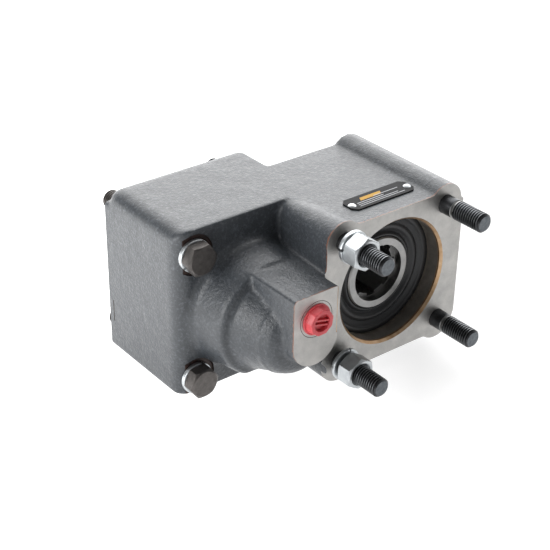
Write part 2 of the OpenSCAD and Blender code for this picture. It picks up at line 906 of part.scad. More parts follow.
// Drive gear and its hub, turned in one piece, with a splined bore for the sliding shaft
module input_gear_hub() {
    keys = 6;
    gap_angle = 180 / input_teeth;
    color("#8f9194") at_input() difference() {
        union() {
            bar(medium_bearing[0], input_bearing_y, hub_end_y);
            bar(mid_land_r, chamber_y, rear_input_y);
            slab(gear_y, gear_end_y) rotate(mesh_angle + 180 + gap_angle)
                gear_outline(input_teeth);
        }
        slab(input_bearing_y - eps, hub_end_y + eps)
            spline_outline(slide_minor_r, slide_major_r, slide_key_w, keys);
        tube(medium_bearing[0] + eps, medium_bearing[0] - hub_clip_d,
             hub_clip_y, hub_clip_y + hub_clip_t);
    }
}

// Circlip behind the rear inner race
module input_hub_circlip() {
    color("#4a4c50") at_input() tube(medium_bearing[0] + clip_band,
        medium_bearing[0] - hub_clip_d, hub_clip_y, hub_clip_y + hub_clip_t);
}

// Round plate in the chamber that carries the rear input bearing
module bearing_carrier() {
    oil_holes = 6;
    oil_hole_r = 3.5;
    oil_pitch_r = (medium_bearing[1] + chamber_r) / 2;
    color("#7b7e82") at_input() difference() {
        bar(chamber_r - fit_gap, carrier_y, carrier_end_y);
        bar(medium_bearing[1], rear_input_y, carrier_end_y + eps);
        bar(medium_bearing[1] - ring_band, carrier_y - eps, rear_input_y + eps);
        for (i = [0:oil_holes - 1]) {
            rotate([0, i * 360 / oil_holes, 0]) translate([oil_pitch_r, 0, 0])
                bar(oil_hole_r, carrier_y - eps, carrier_end_y + eps);
        }
    }
}

// Ring snapped into the chamber wall behind the carrier
module carrier_retaining_ring() {
    gap_w = 14;
    color("#4a4c50") at_input() difference() {
        tube(chamber_r + ring_groove - fit_gap, chamber_r - ring_band,
             carrier_end_y, carrier_end_y + ring_t);
        translate([-gap_w / 2, carrier_end_y - eps, -chamber_r - 2 * ring_groove])
            cube([gap_w, ring_t + 2 * eps, chamber_r / 2]);
    }
}

// Splined shaft that slides out of the gearbox face, with a bearing cup at its front end
module sliding_shaft() {
    keys = 6;
    chamfer = 1;
    tip_r = slide_major_r - fit_gap;
    rod_room = 2;
    seat_y = shift_bearing_y - side_gap;
    color("#9a9c9f") at_input() difference() {
        union() {
            bar(cup_r, seat_y, cup_end_y);
            intersection() {
                slab(cup_end_y - eps, sliding_end_y)
                    spline_outline(slide_minor_r - fit_gap, tip_r,
                                   slide_key_w - 2 * fit_gap, keys);
                pin_bar(tip_r + eps, cup_end_y - rod_room, sliding_end_y, chamfer);
            }
        }
        bar(small_bearing[1], seat_y - eps, shift_bearing_y + small_bearing[2]);
        bar(rod_recess_r, shift_bearing_y, cup_end_y + rod_room);
    }
}

// Air piston with its rod, the shoulder in front of the shift bearing and the seal groove
module shift_piston() {
    nose_r = 6;
    shoulder = 6;
    rod_edge = 0.6;
    piston_r = cylinder_r - fit_gap;
    color("#b0b2b4") at_input() difference() {
        union() {
            bar(piston_r, piston_y, piston_end_y);
            bar(nose_r, cylinder_y + face_gap, piston_y + eps);
            bar(shoulder, piston_end_y - eps, shift_bearing_y);
            pin_bar(small_bearing[0], shift_bearing_y - eps, rod_end_y, rod_edge);
        }
        tube(piston_r + eps, ring_floor_r, ring_centre_y - ring_half,
             ring_centre_y + ring_half);
        tube(small_bearing[0] + eps, small_bearing[0] - rod_clip_d,
             rod_clip_y, rod_clip_y + rod_clip_t);
    }
}

// O-ring between piston and cylinder
module piston_o_ring() {
    o_r = (cylinder_r - fit_gap - ring_floor_r) / 2;
    color("#1c1c1e") at_input() translate([0, ring_centre_y, 0]) turned()
        translate([ring_floor_r + o_r, 0]) circle(o_r);
}

module shift_outer_race() {
    at_input() outer_race(small_bearing, shift_bearing_y);
}

module shift_inner_race() {
    at_input() inner_race(small_bearing, shift_bearing_y);
}

module shift_balls() {
    at_input() ball_set(small_bearing, shift_bearing_y);
}

// Circlip on the piston rod behind the shift bearing
module shift_bearing_circlip() {
    color("#4a4c50") at_input() tube(small_bearing[0] + 2 * rod_clip_t,
        small_bearing[0] - rod_clip_d, rod_clip_y, rod_clip_y + rod_clip_t);
}

// Return spring between the piston and the shoulder of the cylinder bore
module return_spring() {
    sides = 10;
    per_turn = 20;
    rings = spring_turns * per_turn;
    coil_r = (cup_r + cylinder_r) / 2;
    y0 = piston_end_y + wire_r + face_gap / 2;
    y1 = cylinder_end_y - wire_r - face_gap / 2;
    points = [for (i = [0:rings]) let (a = i * 360 / per_turn, y = y0 + (y1 - y0) * i / rings)
        for (k = [0:sides - 1]) let (r = coil_r + wire_r * cos(k * 360 / sides))
            [r * cos(a), y + wire_r * sin(k * 360 / sides), r * sin(a)]];
    sides_list = [for (i = [0:rings - 1]) for (k = [0:sides - 1])
        let (n = (k + 1) % sides, b = i * sides)
            [b + k, b + n, b + sides + n, b + sides + k]];
    ends = [[for (k = [0:sides - 1]) sides - 1 - k], [for (k = [0:sides - 1]) rings * sides + k]];
    color("#55585c") at_input() polyhedron(points, concat(sides_list, ends), convexity = 10);
}

housing();
name_plate();
name_plate_rivets();
air_port_plug();
air_port_seal();
stud_upper_left();
stud_upper_right();
stud_lower_left();
stud_lower_right();
stud_washer_upper();
stud_washer_lower();
stud_nut_upper();
stud_nut_lower();
gearbox_bolt_upper();
gearbox_bolt_lower();
bolt_washer_upper();
bolt_washer_lower();
gearbox_stud_upper();
gearbox_stud_lower();
output_seal();
output_retaining_ring();
output_shaft();
output_gear();
output_gear_key();
output_gear_circlip();
output_front_outer_race();
output_front_inner_race();
output_front_balls();
output_rear_outer_race();
output_rear_inner_race();
output_rear_balls();
input_gear_hub();
input_front_outer_race();
input_front_inner_race();
input_front_balls();
input_rear_outer_race();
input_rear_inner_race();
input_rear_balls();
bearing_carrier();
carrier_retaining_ring();
input_hub_circlip();
sliding_shaft();
shift_piston();
piston_o_ring();
return_spring();
shift_outer_race();
shift_inner_race();
shift_balls();
shift_bearing_circlip();
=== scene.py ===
# %% [markdown]
# # Dressing a gear power take-off
# The part is a cast-iron gear unit that carries a hydraulic pump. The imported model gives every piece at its
# real size, in metres. This script adds what a casting, a thread or a seal looks like, and moves nothing.

import json
import math

import bmesh
import bpy
from mathutils import Matrix, Vector


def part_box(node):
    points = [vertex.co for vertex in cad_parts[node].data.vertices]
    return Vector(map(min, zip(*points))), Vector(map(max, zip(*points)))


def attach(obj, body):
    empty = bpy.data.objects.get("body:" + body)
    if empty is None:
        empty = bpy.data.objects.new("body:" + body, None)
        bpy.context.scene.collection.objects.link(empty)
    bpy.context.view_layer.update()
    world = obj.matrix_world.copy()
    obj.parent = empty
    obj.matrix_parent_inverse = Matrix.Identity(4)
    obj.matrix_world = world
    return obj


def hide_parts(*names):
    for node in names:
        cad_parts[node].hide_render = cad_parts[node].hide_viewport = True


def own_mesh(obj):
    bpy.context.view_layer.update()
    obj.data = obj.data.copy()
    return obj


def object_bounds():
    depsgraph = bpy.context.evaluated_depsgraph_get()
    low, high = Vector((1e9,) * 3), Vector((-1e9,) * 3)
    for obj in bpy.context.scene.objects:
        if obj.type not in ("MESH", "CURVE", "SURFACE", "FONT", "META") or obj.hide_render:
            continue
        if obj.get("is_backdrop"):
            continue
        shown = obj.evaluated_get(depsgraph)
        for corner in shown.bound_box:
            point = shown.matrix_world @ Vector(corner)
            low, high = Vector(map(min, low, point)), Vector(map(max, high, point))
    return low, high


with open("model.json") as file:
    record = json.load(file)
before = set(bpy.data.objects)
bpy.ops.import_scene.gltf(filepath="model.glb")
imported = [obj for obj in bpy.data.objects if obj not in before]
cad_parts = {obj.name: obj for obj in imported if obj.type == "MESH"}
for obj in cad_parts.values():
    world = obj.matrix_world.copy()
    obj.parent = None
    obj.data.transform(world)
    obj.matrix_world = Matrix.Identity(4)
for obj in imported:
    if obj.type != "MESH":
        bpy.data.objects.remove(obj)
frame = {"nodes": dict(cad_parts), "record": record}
cad_low, cad_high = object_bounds()
MM = 0.001
print("CAD box in mm:", [round(v / MM, 1) for v in (*cad_low, *cad_high)])

# %% [markdown]
# ## Where things are
# Sizes come from the frame where a node shows them: the middle of a stud, the face of the flange, the
# axis of the input gear. All other sizes are the drawing's own, in millimetres, with Y pointing to the
# gearbox.


# %% Axes and faces read from the frame
def box_mm(name):
    """Lowest and highest corner of a CAD node, in millimetres."""
    low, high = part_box(name)
    return low / MM, high / MM


def middle_mm(name):
    low, high = box_mm(name)
    return (low + high) / 2


housing_low, housing_high = box_mm("housing")
stud_half = middle_mm("stud_upper_right").x
input_axis = middle_mm("input_gear_hub")
input_x = input_axis.x
input_z = input_axis.z
gearbox_y = housing_high.y
pad_y = housing_low.y
print("stud half spacing", round(stud_half, 2), "input axis", round(input_x, 2), round(input_z, 2))
print("gearbox face", round(gearbox_y, 2), "port pad", round(pad_y, 2))

# %% [markdown]
# ## Helpers for meshes
# Each piece is a bmesh, which is Blender's own mesh in memory. Two shapes make nearly all of this unit: a
# flat outline pushed along Y, and a half section turned about an axis that runs along Y.


# %% Outline pushed along Y, and turned half section
def slab(bm, outline, y0, y1):
    """Adds a closed prism: an outline of X and Z in millimetres, from y0 to y1."""
    ring = [bm.verts.new((x * MM, y0 * MM, z * MM)) for x, z in outline]
    face = bm.faces.new(ring)
    grown = bmesh.ops.extrude_face_region(bm, geom=[face])["geom"]
    moved = [v for v in grown if isinstance(v, bmesh.types.BMVert)]
    bmesh.ops.translate(bm, verts=moved, vec=(0, (y1 - y0) * MM, 0))
    return ring + moved


def box(bm, low, high):
    """Adds a closed box between two corners in millimetres."""
    (x0, y0, z0), (x1, y1, z1) = low, high
    return slab(bm, [(x0, z0), (x1, z0), (x1, z1), (x0, z1)], y0, y1)


def turned(bm, section, x=0.0, z=0.0, steps=96):
    """Adds a closed turned shape. The half section is radius and Y, and both ends may lie on the axis."""
    chain = [bm.verts.new(((x + r) * MM, y * MM, z * MM)) for r, y in section]
    edges = [bm.edges.new(pair) for pair in zip(chain, chain[1:])]
    if section[0][0] > 0:
        edges.append(bm.edges.new((chain[-1], chain[0])))
    bmesh.ops.spin(bm, geom=chain + edges, cent=(x * MM, 0, z * MM), axis=(0, 1, 0), angle=math.tau,
                   steps=steps, use_merge=True, use_duplicate=False)
    bmesh.ops.remove_doubles(bm, verts=bm.verts, dist=1e-7)


def circle_points(x, z, r, count, start=0.0):
    """Points of a circle in the X and Z plane, in millimetres."""
    return [(x + r * math.cos(start + math.tau * i / count), z + r * math.sin(start + math.tau * i / count))
            for i in range(count)]


# %% [markdown]
# A mesh becomes an object with its place in its vertices. Its object stays at the origin, so a pattern that
# reads Object coordinates is fixed to the part. Edges sharper than a limit stay crisp, and the rest shade
# smoothly.


# %% From bmesh to object
def outward(bm):
    bmesh.ops.recalc_face_normals(bm, faces=bm.faces)


def to_object(bm, name, sharp_deg=32):
    """Turns a bmesh into an object and marks its sharp edges."""
    limit = math.radians(sharp_deg)
    for face in bm.faces:
        face.smooth = True
    for edge in bm.edges:
        edge.smooth = edge.calc_face_angle(0) < limit
    mesh = bpy.data.meshes.new(name)
    bm.to_mesh(mesh)
    bm.free()
    made = bpy.data.objects.new(name, mesh)
    bpy.context.scene.collection.objects.link(made)
    return made


def applied(thing):
    """Replaces a mesh by what its modifiers make of it, and takes the modifiers off."""
    graph = bpy.context.evaluated_depsgraph_get()
    made = bpy.data.meshes.new_from_object(thing.evaluated_get(graph))
    old = thing.data
    thing.modifiers.clear()
    thing.data = made
    bpy.data.meshes.remove(old)
    return thing


def cut(target, bm, finish=0, mode="DIFFERENCE"):
    """Cuts, joins or intersects target with a closed bmesh. New faces get the finish's slot number."""
    outward(bm)
    for face in bm.faces:
        face.material_index = finish
    tool = to_object(bm, "tool")
    for slot in target.data.materials:
        tool.data.materials.append(slot)
    step = target.modifiers.new("cut", "BOOLEAN")
    step.operation = mode
    step.solver = "MANIFOLD"
    step.object = tool
    applied(target)
    old = tool.data
    bpy.data.objects.remove(tool)
    bpy.data.meshes.remove(old)
    return target


def triangles(thing):
    return sum(len(p.vertices) - 2 for p in thing.data.polygons)


def mark_sharp(thing, sharp_deg=32):
    """Marks the sharp edges again, after cuts have changed a mesh."""
    bm = bmesh.new()
    bm.from_mesh(thing.data)
    limit = math.radians(sharp_deg)
    for face in bm.faces:
        face.smooth = True
    for edge in bm.edges:
        edge.smooth = edge.calc_face_angle(0) < limit
    bm.to_mesh(thing.data)
    bm.free()
    return thing


# %% [markdown]
# ## Helpers for materials
# A colour is written as a web colour and turned to the linear values that a renderer adds up. One function
# adds any node: its settings by name, its inputs as values or as the sockets that feed them.


# %% Colours and nodes
def paint(code, strength=1.0):
    """Linear colour of an sRGB hex code."""
    channels = [int(code[i:i + 2], 16) / 255 for i in (1, 3, 5)]
    linear = [c / 12.92 if c <= 0.04045 else ((c + 0.055) / 1.055) ** 2.4 for c in channels]
    return (*[c * strength for c in linear], 1.0)


def add(tree, kind, inputs=None, **settings):
    """Adds a node, sets it up, and fills its inputs with values or links."""
    made = tree.nodes.new(kind)
    for name, value in settings.items():
        setattr(made, name, value)
    for key, value in (inputs or {}).items():
        if isinstance(value, bpy.types.NodeSocket):
            tree.links.new(value, made.inputs[key])
        else:
            made.inputs[key].default_value = value
    return made


def start_material(name):
    """Empty material with its output, and the sockets of its object coordinates in metres."""
    made = bpy.data.materials.new(name)
    made.use_nodes = True
    tree = made.node_tree
    tree.nodes.clear()
    place = add(tree, "ShaderNodeTexCoord").outputs["Object"]
    out = add(tree, "ShaderNodeOutputMaterial")
    return made, tree, place, out


def per_mm(size):
    """Noise scale that gives one feature in that many millimetres, on coordinates in metres."""
    return 1 / (size * MM)


NOISE = "ShaderNodeTexNoise"
RANGE = "ShaderNodeMapRange"
MIX = "ShaderNodeMix"
MATH = "ShaderNodeMath"
BUMP = "ShaderNodeBump"
SURFACE = "ShaderNodeBsdfPrincipled"
print("linear value of a mid grey:", round(paint("#808080")[0], 3))

# %% [markdown]
# ## Casting paint
# Grey enamel sprayed thinly over sand-cast iron. The sand leaves a fine grain, and the enamel is a dark
# grey with a satin gloss: faces that mirror the bright studio look light, the others nearly black.


# %% Grain, blotches and bare edge of the paint
GRAIN = 1.7
FINE_GRAIN = 0.7
BLOTCH = 12
MILL_EDGE = 0.9
MILL_RAG = 2.5
SHEEN_PATCH = 3
PAINT_IOR = 1.5
FLANGE_LEFT_X = -53


def bare_edge(tree, place, ragged):
    """1 on the paint just behind the two milled front faces, where the cutter has chipped it."""
    spread = add(tree, "ShaderNodeSeparateXYZ", {0: place})
    near_flange = add(tree, MATH, {0: spread.outputs["Y"], 1: ragged}, operation="LESS_THAN")
    past_boss = add(tree, MATH, {0: spread.outputs["X"], 1: FLANGE_LEFT_X * MM}, operation="GREATER_THAN")
    on_flange = add(tree, MATH, {0: near_flange.outputs[0], 1: past_boss.outputs[0]}, operation="MULTIPLY")
    pad_depth = add(tree, MATH, {0: spread.outputs["Y"], 1: -pad_y * MM}, operation="ADD")
    on_pad = add(tree, MATH, {0: pad_depth.outputs[0], 1: ragged}, operation="LESS_THAN")
    return add(tree, MATH, {0: on_flange.outputs[0], 1: on_pad.outputs[0]}, operation="MAXIMUM").outputs[0]


# %% [markdown]
# The colour goes from blotch to grain to bare edge, each laid over the last. Three bumps follow each
# other: the finest grain, the sand grain, and the long waves of a mould face. The real sand grain is
# finer than a pixel, so it is drawn as coarse as it needs to show.


# %% Casting paint
def casting_paint():
    made, tree, place, out = start_material("grey_enamel_on_sand_casting")
    grain, fine, broad, rag, sheen = (
        add(tree, NOISE, {"Vector": place, "Scale": per_mm(size), "Detail": detail,
                          "Roughness": rough}).outputs[0]
        for size, detail, rough in ((GRAIN, 3, 0.6), (FINE_GRAIN, 2, 0.6), (BLOTCH, 3, 0.5),
                                    (MILL_RAG, 3, 0.55), (SHEEN_PATCH, 3, 0.55)))
    lit, ragged, gloss = (
        add(tree, RANGE, {0: value, 1: low, 2: high, 3: to_low, 4: to_high}).outputs[0]
        for value, low, high, to_low, to_high in (
            (grain, 0.5, 0.8, 0, 1), (rag, 0.3, 0.7, 0.15 * MILL_EDGE * MM, 1.5 * MILL_EDGE * MM),
            (sheen, 0.3, 0.7, 0.3, 0.42)))
    tone = paint("#33363a")
    for share, colour in ((broad, "#3b3f43"), (lit, "#565a60"), (bare_edge(tree, place, ragged), "#6e4a3a")):
        tone = add(tree, MIX, {"Factor": share, 6: tone, 7: paint(colour)}, data_type="RGBA").outputs[2]
    bump = add(tree, BUMP, {"Height": fine, "Distance": 0.16 * MM, "Strength": 0.8})
    for height, distance, strength in ((grain, 0.36, 0.8), (broad, 1.2, 0.5)):
        bump = add(tree, BUMP, {"Height": height, "Distance": distance * MM, "Strength": strength,
                                "Normal": bump.outputs[0]})
    skin = add(tree, SURFACE, {"Base Color": tone, "Roughness": gloss, "IOR": PAINT_IOR,
                               "Normal": bump.outputs[0]})
    tree.links.new(skin.outputs[0], out.inputs[0])
    return made


# %% [markdown]
# ## Bare and plated metals
# Milled iron is a warm light grey with faint blotches. Zinc plate is brighter and bluer, black oxide a thin
# dark skin over steel. One recipe serves them all: a metal whose colour, gloss and fine marks differ.


# %% Metals
def metal(name, dark, light, rough_low, rough_high, size, bump_mm=0.01, metallic=1.0):
    """Blotches of one size in millimetres for the colour, and marks a ninth as large for gloss and relief."""
    made, tree, place, out = start_material(name)
    cloud, marks = (
        add(tree, NOISE, {"Vector": place, "Scale": per_mm(width), "Detail": detail,
                          "Roughness": 0.6}).outputs[0]
        for width, detail in ((size, 4), (size / 9, 3)))
    share, gloss = (
        add(tree, RANGE, {0: value, 1: 0.3, 2: 0.7, 3: low, 4: high}).outputs[0]
        for value, low, high in ((cloud, 0, 1), (marks, rough_low, rough_high)))
    tone = add(tree, MIX, {"Factor": share, 6: paint(dark), 7: paint(light)}, data_type="RGBA").outputs[2]
    bump = add(tree, BUMP, {"Height": marks, "Distance": bump_mm * MM, "Strength": 0.6})
    skin = add(tree, SURFACE, {"Base Color": tone, "Roughness": gloss, "Metallic": metallic,
                               "Normal": bump.outputs[0]})
    tree.links.new(skin.outputs[0], out.inputs[0])
    return made


# %% [markdown]
# The name plate is printed aluminium. The print stands for a maker's data only by its colours: a gold
# field with slanted ends and, in front of it, pale lines on black. Nothing on it can be read. A field is
# the product of four comparisons, two along the plate and two across it.

# %% Printed plate
GOLD_SLANT = -0.5
GOLD_FIELD = ((-20.5, -4.5), (20.4, 23.6))
PALE_LINES = (((-14.5, 6), (18.4, 19.1)), ((-15, 16), (16.6, 17.2)), ((-15, 20), (14.9, 15.5)),
              ((0, 19), (20.6, 21.2)))
PLATE_WEAR = 1.2


def printed_plate():
    made, tree, place, out = start_material("printed_black_plate")
    spread = add(tree, "ShaderNodeSeparateXYZ", {0: place})
    across, along = spread.outputs["X"], spread.outputs["Y"]
    slanted = add(tree, MATH, {0: along, 1: GOLD_SLANT, 2: across}, operation="MULTIPLY_ADD").outputs[0]
    wear = add(tree, NOISE, {"Vector": place, "Scale": per_mm(PLATE_WEAR), "Detail": 3,
                             "Roughness": 0.55}).outputs[0]
    worn, gloss = (add(tree, RANGE, {0: wear, 1: 0.3, 2: 0.7, 3: low, 4: high}).outputs[0]
                   for low, high in ((0, 1), (0.3, 0.45)))
    tone = add(tree, MIX, {"Factor": worn, 6: paint("#0f1012"), 7: paint("#1a1b1e")},
               data_type="RGBA").outputs[2]
    fields = [(slanted, *GOLD_FIELD, "#b98f3c")] + [(across, *line, "#a9abae") for line in PALE_LINES]
    for width, x_mm, y_mm, colour in fields:
        inside, *others = [add(tree, MATH, {0: value, 1: limit * MM}, operation=side).outputs[0]
                           for value, limits in ((width, x_mm), (along, y_mm))
                           for limit, side in zip(limits, ("GREATER_THAN", "LESS_THAN"))]
        for other in others:
            inside = add(tree, MATH, {0: inside, 1: other}, operation="MULTIPLY").outputs[0]
        tone = add(tree, MIX, {"Factor": inside, 6: tone, 7: paint(colour)}, data_type="RGBA").outputs[2]
    bump = add(tree, BUMP, {"Height": wear, "Distance": 0.02 * MM, "Strength": 0.5})
    skin = add(tree, SURFACE, {"Base Color": tone, "Roughness": gloss, "Specular IOR Level": 0.05,
                               "Normal": bump.outputs[0]})
    tree.links.new(skin.outputs[0], out.inputs[0])
    return made


# %% [markdown]
# ## All finishes
# Each finish is named for its material and how its surface was made. The two web colours are its darkest
# and lightest blotches, the next two numbers its roughness, and the next the size of a blotch in
# millimetres.

# %% Finishes of the casting and its cuts
FINISH = {
    # Satin grey that mirrors bright things softly, with a sandy grain and rusty chips along milled edges.
    "casting_paint": casting_paint(),
    # Warm light grey with faint clouds, nearly matt, as fine cutter marks scatter the light.
    "milled_iron": metal("milled_cast_iron", "#a2a19f", "#b7b5b2", 0.4, 0.55, 9),
    # Oil makes the bored walls a darker, browner grey without a clear mirror image.
    "bored_iron": metal("oiled_bored_iron", "#86817b", "#9b958e", 0.5, 0.65, 6, 0.02),
    # Old rust in the bolts' pockets: a matt, almost black brown.
    "spot_face": metal("rusty_spot_face", "#1d1310", "#3a251d", 0.45, 0.6, 3, 0.05, 0.2),
    # A thin golden brown line of bare, lightly tarnished iron.
    "chamfer": metal("bare_turned_chamfer", "#a58565", "#c4a788", 0.3, 0.42, 5),
}
print("finishes of the casting:", len(FINISH))

# %% Finishes of fasteners, shafts and plastics
FINISH.update({
    # Bright bluish white that mirrors the room in soft patches.
    "bright_zinc": metal("bright_zinc_plate", "#b4b8bb", "#ccd0d2", 0.34, 0.42, 5, 0.002),
    # Near black with a soft oily shine on its upper side.
    "black_oxide": metal("black_oxide_steel", "#38393b", "#4c4d4f", 0.26, 0.38, 4, 0.02, 0.9),
    # A brownish dark grey, duller than the studs.
    "bolt_head": metal("phosphated_bolt_steel", "#4b4846", "#5f5b59", 0.34, 0.48, 3, 0.02, 0.8),
    # Thread crests painted lighter than the grooves, a painted highlight on every crest, so that the thread can be
    # seen.
    "crest_highlight": metal("steel_with_painted_crest_highlight", "#5f6163", "#787a7d", 0.34, 0.46, 3),
    # Flat grey ends of bars, where the steel was sheared.
    "sheared_end": metal("sheared_steel_end", "#54585c", "#6e7276", 0.35, 0.5, 2),
    # Dull dark grey of wire and snap rings.
    "spring_steel": metal("phosphated_spring_steel", "#3a3b3e", "#4e5054", 0.4, 0.55, 3),
    # A clean mid grey with a soft shine, on shafts and stud necks.
    "ground_steel": metal("ground_steel", "#8b8c8c", "#a09f9e", 0.3, 0.42, 6),
    # A little darker and greyer than a ground shaft.
    "gear_steel": metal("hobbed_gear_steel", "#77797c", "#8f9194", 0.3, 0.42, 5),
    # The brightest steel here, with clear reflections on races and balls.
    "bearing_steel": metal("polished_bearing_steel", "#a8aaac", "#c0c2c4", 0.12, 0.22, 8),
    # Dark grey of a carrier turned from iron and left bare.
    "bare_iron": metal("turned_cast_iron", "#65676a", "#7d7f82", 0.38, 0.52, 7),
    # Pale and soft, warmer than zinc.
    "piston_aluminium": metal("turned_aluminium", "#a9abad", "#c3c5c6", 0.28, 0.4, 6),
    # Black with a broad dull shine on rounded ridges.
    "rubber_black": metal("nitrile_rubber", "#131416", "#1d1f22", 0.38, 0.52, 7, 0.02, 0.0),
    # An even warm red with soft highlights on its flats.
    "red_plastic": metal("red_polyethylene", "#bb3a42", "#cf4d53", 0.34, 0.44, 6, 0.02, 0.0),
    # Near black print without shine, with plain gold and pale fields.
    "plate_black": printed_plate(),
})
print("finishes in all:", len(FINISH))

# %% [markdown]
# ## The raw casting
# A casting has no sharp edge where the mould made it. Rounding each edge by hand is slow, so the pattern
# maker's way is used: plain blocks, pushed into each other, are remeshed into one skin of small squares,
# and smoothing that skin rounds corners and fills hollows. Extra metal stands where a face is milled
# later.

# %% Sizes of the casting
lobe_top_r = 13
lobe_bottom_r = 14.3
top_z = stud_half + 8.2
bottom_z = -stud_half - 10.3
right_x = stud_half + 15
left_x = -stud_half - 12.5
output_end_y = 92
input_front_y = 50
input_left_x = housing_low.x
input_right_x = input_left_x + 97
input_bottom_z = housing_low.z
input_top_z = top_z
pad_r = 16
pad_top = 23.4
pad_round_z = input_z + 4.5
allowance = 6
lobe_end_r = 7.6
boss_flat_z = input_z - 32
voxel = 1.0
smooth_rounds = 8


# %% Blocks of the raw casting
def wall_plan(bm, plan, z0, z1):
    """Adds a closed prism: a plan of X and Y in millimetres, from z0 to z1."""
    ring = [bm.verts.new((x * MM, y * MM, z0 * MM)) for x, y in plan]
    grown = bmesh.ops.extrude_face_region(bm, geom=[bm.faces.new(ring)])["geom"]
    moved = [v for v in grown if isinstance(v, bmesh.types.BMVert)]
    bmesh.ops.translate(bm, verts=moved, vec=(0, 0, (z1 - z0) * MM))


def output_block(bm):
    """Block around the output shaft: boxes that cross, and a lobe at each stud."""
    back = output_end_y
    box(bm, (left_x, -allowance, -stud_half), (right_x, back, pad_top - 1))
    box(bm, (-stud_half, -allowance, pad_top - 2), (right_x, back, stud_half))
    box(bm, (-stud_half, -allowance, bottom_z), (stud_half, back, top_z))
    wall_plan(bm, [(left_x, -allowance), (left_x, 0), (-stud_half - lobe_end_r, input_front_y),
                   (-stud_half + 1, input_front_y), (-stud_half + 1, -allowance)], pad_top - 2, stud_half)
    turned(bm, [(0, -allowance), (lobe_top_r, -allowance), (lobe_top_r, back), (0, back)],
           stud_half, stud_half, 64)
    turned(bm, [(0, -allowance), (lobe_top_r, -allowance), (lobe_top_r, 0), (lobe_end_r, input_front_y),
                (0, input_front_y)], -stud_half, stud_half, 64)
    for side in (-1, 1):
        turned(bm, [(0, -allowance), (lobe_bottom_r, -allowance), (lobe_bottom_r, back), (0, back)],
               side * stud_half, -stud_half, 64)


def input_block(bm):
    """Left block: its side view pushed along X, with a roll to the gearbox and one along its left edges."""
    roll = 10
    left_roll = 9
    side_view = [(input_front_y, input_bottom_z), (input_front_y, input_top_z)]
    for i in range(10):
        turn = math.radians(90 - 10 * i)
        side_view.append((gearbox_y - roll + roll * math.cos(turn),
                          input_top_z - roll + roll * math.sin(turn)))
    side_view += [(gearbox_y + allowance, input_top_z - roll), (gearbox_y + allowance, input_bottom_z)]
    ring = [bm.verts.new((input_left_x * MM, y * MM, z * MM)) for y, z in side_view]
    grown = bmesh.ops.extrude_face_region(bm, geom=[bm.faces.new(ring)])["geom"]
    moved = [v for v in grown if isinstance(v, bmesh.types.BMVert)]
    bmesh.ops.translate(bm, verts=moved, vec=((input_right_x - input_left_x) * MM, 0, 0))
    rolled = [e for v in ring[:12] for e in v.link_edges
              if all(w in ring and w.co.y < (gearbox_y + 0.5) * MM for w in e.verts)]
    bmesh.ops.bevel(bm, geom=list(set(rolled)), offset=left_roll * MM, segments=8, profile=0.5,
                    affect="EDGES", material=-1)


def cylinder_boss(bm):
    """Air cylinder boss: a flat-topped block to the pad, rounded below, that runs into a domed cup."""
    box(bm, (input_x - pad_r, pad_y - allowance, input_z), (input_x + pad_r, input_front_y + 1, pad_top))
    box(bm, (input_x, 0, input_z), (-stud_half, input_front_y + 1, pad_top))
    turned(bm, [(0, pad_y - allowance), (pad_r, pad_y - allowance), (pad_r + 0.8, 4), (0, 4)], input_x,
           pad_round_z, 64)
    dome = [(0, -5), (16, -5), (20, -3.5), (23.5, -0.5), (25, 3), (25.3, 5.5), (25.3, 8), (0, 8)]
    turned(bm, dome, input_x, input_z)


def bearing_boss(bm):
    """Round bosses on the input axis, the narrow one in front, with a flat cut on their underside."""
    flat_start_y = 25
    boss = bmesh.new()
    turned(boss, [(0, 4), (25.3, 4), (26.8, 5.5), (26, 7), (32.5, 25), (36.3, 25), (37.8, 26.5), (40.8, 47),
                  (43.8, 50), (43.8, 51), (0, 51)], input_x, input_z)
    everything = boss.verts[:] + boss.edges[:] + boss.faces[:]
    found = bmesh.ops.bisect_plane(boss, geom=everything, plane_co=(0, flat_start_y * MM, boss_flat_z * MM),
                                   plane_no=(0, -0.12, -1), clear_outer=True)
    rim = [e for e in found["geom_cut"] if isinstance(e, bmesh.types.BMEdge)]
    bmesh.ops.edgeloop_fill(boss, edges=rim)
    skin = bpy.data.meshes.new("boss")
    boss.to_mesh(skin)
    boss.free()
    bm.from_mesh(skin)
    bpy.data.meshes.remove(skin)


# %% Raw casting as one skin
raw = bmesh.new()
output_block(raw)
input_block(raw)
cylinder_boss(raw)
bearing_boss(raw)
outward(raw)
casting = to_object(raw, "casting")
skin_step = casting.modifiers.new("skin", "REMESH")
skin_step.mode = "VOXEL"
skin_step.voxel_size = voxel * MM
applied(casting)
print("raw skin faces:", len(casting.data.polygons))

# %% [markdown]
# Each round of smoothing moves a point halfway to the middle of its neighbours. Eight rounds on a 1 mm skin
# round an edge by a few millimetres, much as the edges look in the photo.

# %% Smooth the skin
skin = bmesh.new()
skin.from_mesh(casting.data)
for _ in range(smooth_rounds):
    bmesh.ops.smooth_vert(skin, verts=skin.verts, factor=0.5, use_axis_x=True, use_axis_y=True,
                          use_axis_z=True)
skin.to_mesh(casting.data)
skin.free()
for key in ("casting_paint", "milled_iron", "bored_iron", "spot_face", "chamfer"):
    casting.data.materials.append(FINISH[key])
MILLED, BORED, SPOT, CHAMFER = 1, 2, 3, 4
print("smoothing rounds:", smooth_rounds)

# %% [markdown]
# ## Machining
# The casting is now milled and bored as in the workshop: each cut is a closed shape that is taken away, and
# the faces it leaves get a bare finish. The faces are flat to the frame's own planes.

# %% Mill the faces
far = 300
pad_side_x = left_x - 1.5


def mill(low, high, finish=MILLED):
    tool = bmesh.new()
    box(tool, low, high)
    cut(casting, tool, finish)


def bore(section, x=0.0, z=0.0, finish=BORED, steps=96):
    tool = bmesh.new()
    turned(tool, section, x, z, steps)
    cut(casting, tool, finish)


